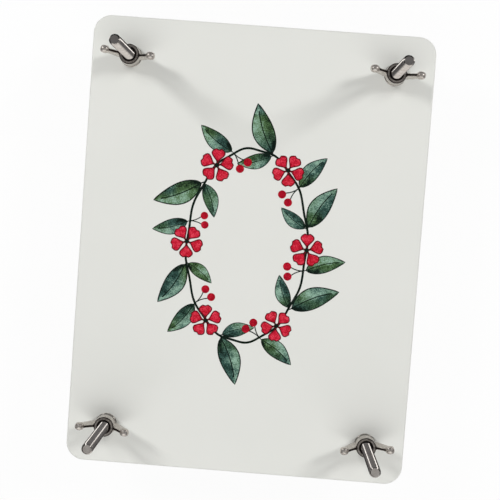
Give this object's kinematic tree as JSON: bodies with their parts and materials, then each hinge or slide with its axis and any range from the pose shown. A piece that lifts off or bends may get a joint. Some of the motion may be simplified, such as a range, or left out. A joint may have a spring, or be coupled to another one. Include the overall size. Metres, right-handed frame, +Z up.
{
  "type": "flower press",
  "caption": "Flower press lying flat: white boards clamp a stack of corrugated cards and blotting sheets, drawn together by wing nuts on bolts at the corners.",
  "frame": {"origin": "middle of the bottom board's underside, which is the face the press rests on", "axes": "+X across the boards, +Y along them towards the far end as the print reads, +Z up along the bolts"},
  "size_m": [0.19, 0.25, 0.104],
  "materials": {
    "board_paint": "satin",
    "bolt_steel": "polished",
    "washer_steel": "satin",
    "nut_steel": "satin",
    "card_board": "matte",
    "blotting_paper": "matte",
    "petal_ink": "matte",
    "leaf_ink": "matte",
    "stem_ink": "matte"
  },
  "bodies": {
    "base": {"bottom_board": "board_paint", "carriage_bolt_1": "bolt_steel", "carriage_bolt_2": "bolt_steel", "carriage_bolt_3": "bolt_steel", "carriage_bolt_4": "bolt_steel"},
    "lid": {"top_board": "board_paint", "washer_1": "washer_steel", "washer_2": "washer_steel", "washer_3": "washer_steel", "washer_4": "washer_steel"},
    "nut_1": {"wing_nut_1": "nut_steel"},
    "nut_2": {"wing_nut_2": "nut_steel"},
    "nut_3": {"wing_nut_3": "nut_steel"},
    "nut_4": {"wing_nut_4": "nut_steel"},
    "card_1": {"corrugated_card_1": "card_board"},
    "sheet_1": {"blotting_sheet_1": "blotting_paper"},
    "sheet_2": {"blotting_sheet_2": "blotting_paper"},
    "card_2": {"corrugated_card_2": "card_board"},
    "sheet_3": {"blotting_sheet_3": "blotting_paper"},
    "sheet_4": {"blotting_sheet_4": "blotting_paper"},
    "card_3": {"corrugated_card_3": "card_board"},
    "sheet_5": {"blotting_sheet_5": "blotting_paper"},
    "sheet_6": {"blotting_sheet_6": "blotting_paper"},
    "card_4": {"corrugated_card_4": "card_board"},
    "sheet_7": {"blotting_sheet_7": "blotting_paper"},
    "sheet_8": {"blotting_sheet_8": "blotting_paper"},
    "card_5": {"corrugated_card_5": "card_board"},
    "sheet_9": {"blotting_sheet_9": "blotting_paper"},
    "sheet_10": {"blotting_sheet_10": "blotting_paper"},
    "card_6": {"corrugated_card_6": "card_board"}
  },
  "joints": [
    {"name": "board_lift", "type": "slide", "parent": "base", "child": "lid", "axis": [0, 0, 1], "range_m": [0, 0.05]},
    {"name": "nut_turn_1", "type": "hinge", "parent": "lid", "child": "nut_1", "pos_m": [-0.073, 0.103, 0.0456], "axis": [0, 0, 1], "range_deg": [0, 18000]},
    {"name": "nut_turn_2", "type": "hinge", "parent": "lid", "child": "nut_2", "pos_m": [0.073, 0.103, 0.0456], "axis": [0, 0, 1], "range_deg": [0, 18000]},
    {"name": "nut_turn_3", "type": "hinge", "parent": "lid", "child": "nut_3", "pos_m": [0.073, -0.103, 0.0456], "axis": [0, 0, 1], "range_deg": [0, 18000]},
    {"name": "nut_turn_4", "type": "hinge", "parent": "lid", "child": "nut_4", "pos_m": [-0.073, -0.103, 0.0456], "axis": [0, 0, 1], "range_deg": [0, 18000]},
    {"name": "card_1_lift", "type": "slide", "parent": "base", "child": "card_1", "axis": [0, 0, 1], "range_m": [0, 0.001]},
    {"name": "sheet_1_lift", "type": "slide", "parent": "base", "child": "sheet_1", "axis": [0, 0, 1], "range_m": [0, 0.002]},
    {"name": "sheet_2_lift", "type": "slide", "parent": "base", "child": "sheet_2", "axis": [0, 0, 1], "range_m": [0, 0.0096]},
    {"name": "card_2_lift", "type": "slide", "parent": "base", "child": "card_2", "axis": [0, 0, 1], "range_m": [0, 0.0106]},
    {"name": "sheet_3_lift", "type": "slide", "parent": "base", "child": "sheet_3", "axis": [0, 0, 1], "range_m": [0, 0.0116]},
    {"name": "sheet_4_lift", "type": "slide", "parent": "base", "child": "sheet_4", "axis": [0, 0, 1], "range_m": [0, 0.0192]},
    {"name": "card_3_lift", "type": "slide", "parent": "base", "child": "card_3", "axis": [0, 0, 1], "range_m": [0, 0.0202]},
    {"name": "sheet_5_lift", "type": "slide", "parent": "base", "child": "sheet_5", "axis": [0, 0, 1], "range_m": [0, 0.0212]},
    {"name": "sheet_6_lift", "type": "slide", "parent": "base", "child": "sheet_6", "axis": [0, 0, 1], "range_m": [0, 0.0288]},
    {"name": "card_4_lift", "type": "slide", "parent": "base", "child": "card_4", "axis": [0, 0, 1], "range_m": [0, 0.0298]},
    {"name": "sheet_7_lift", "type": "slide", "parent": "base", "child": "sheet_7", "axis": [0, 0, 1], "range_m": [0, 0.0308]},
    {"name": "sheet_8_lift", "type": "slide", "parent": "base", "child": "sheet_8", "axis": [0, 0, 1], "range_m": [0, 0.0384]},
    {"name": "card_5_lift", "type": "slide", "parent": "base", "child": "card_5", "axis": [0, 0, 1], "range_m": [0, 0.0394]},
    {"name": "sheet_9_lift", "type": "slide", "parent": "base", "child": "sheet_9", "axis": [0, 0, 1], "range_m": [0, 0.0404]},
    {"name": "sheet_10_lift", "type": "slide", "parent": "base", "child": "sheet_10", "axis": [0, 0, 1], "range_m": [0, 0.048]},
    {"name": "card_6_lift", "type": "slide", "parent": "base", "child": "card_6", "axis": [0, 0, 1], "range_m": [0, 0.049]}
  ],
  "couplings": [
    {"joint": "nut_turn_1", "follows": "board_lift", "rad_per_m": 6283.2},
    {"joint": "nut_turn_2", "follows": "board_lift", "rad_per_m": 6283.2},
    {"joint": "nut_turn_3", "follows": "board_lift", "rad_per_m": 6283.2},
    {"joint": "nut_turn_4", "follows": "board_lift", "rad_per_m": 6283.2},
    {"joint": "card_1_lift", "follows": "board_lift", "ratio": 0.02},
    {"joint": "sheet_1_lift", "follows": "board_lift", "ratio": 0.04},
    {"joint": "sheet_2_lift", "follows": "board_lift", "ratio": 0.192},
    {"joint": "card_2_lift", "follows": "board_lift", "ratio": 0.212},
    {"joint": "sheet_3_lift", "follows": "board_lift", "ratio": 0.232},
    {"joint": "sheet_4_lift", "follows": "board_lift", "ratio": 0.384},
    {"joint": "card_3_lift", "follows": "board_lift", "ratio": 0.404},
    {"joint": "sheet_5_lift", "follows": "board_lift", "ratio": 0.424},
    {"joint": "sheet_6_lift", "follows": "board_lift", "ratio": 0.576},
    {"joint": "card_4_lift", "follows": "board_lift", "ratio": 0.596},
    {"joint": "sheet_7_lift", "follows": "board_lift", "ratio": 0.616},
    {"joint": "sheet_8_lift", "follows": "board_lift", "ratio": 0.768},
    {"joint": "card_5_lift", "follows": "board_lift", "ratio": 0.788},
    {"joint": "sheet_9_lift", "follows": "board_lift", "ratio": 0.808},
    {"joint": "sheet_10_lift", "follows": "board_lift", "ratio": 0.96},
    {"joint": "card_6_lift", "follows": "board_lift", "ratio": 0.98}
  ]
}
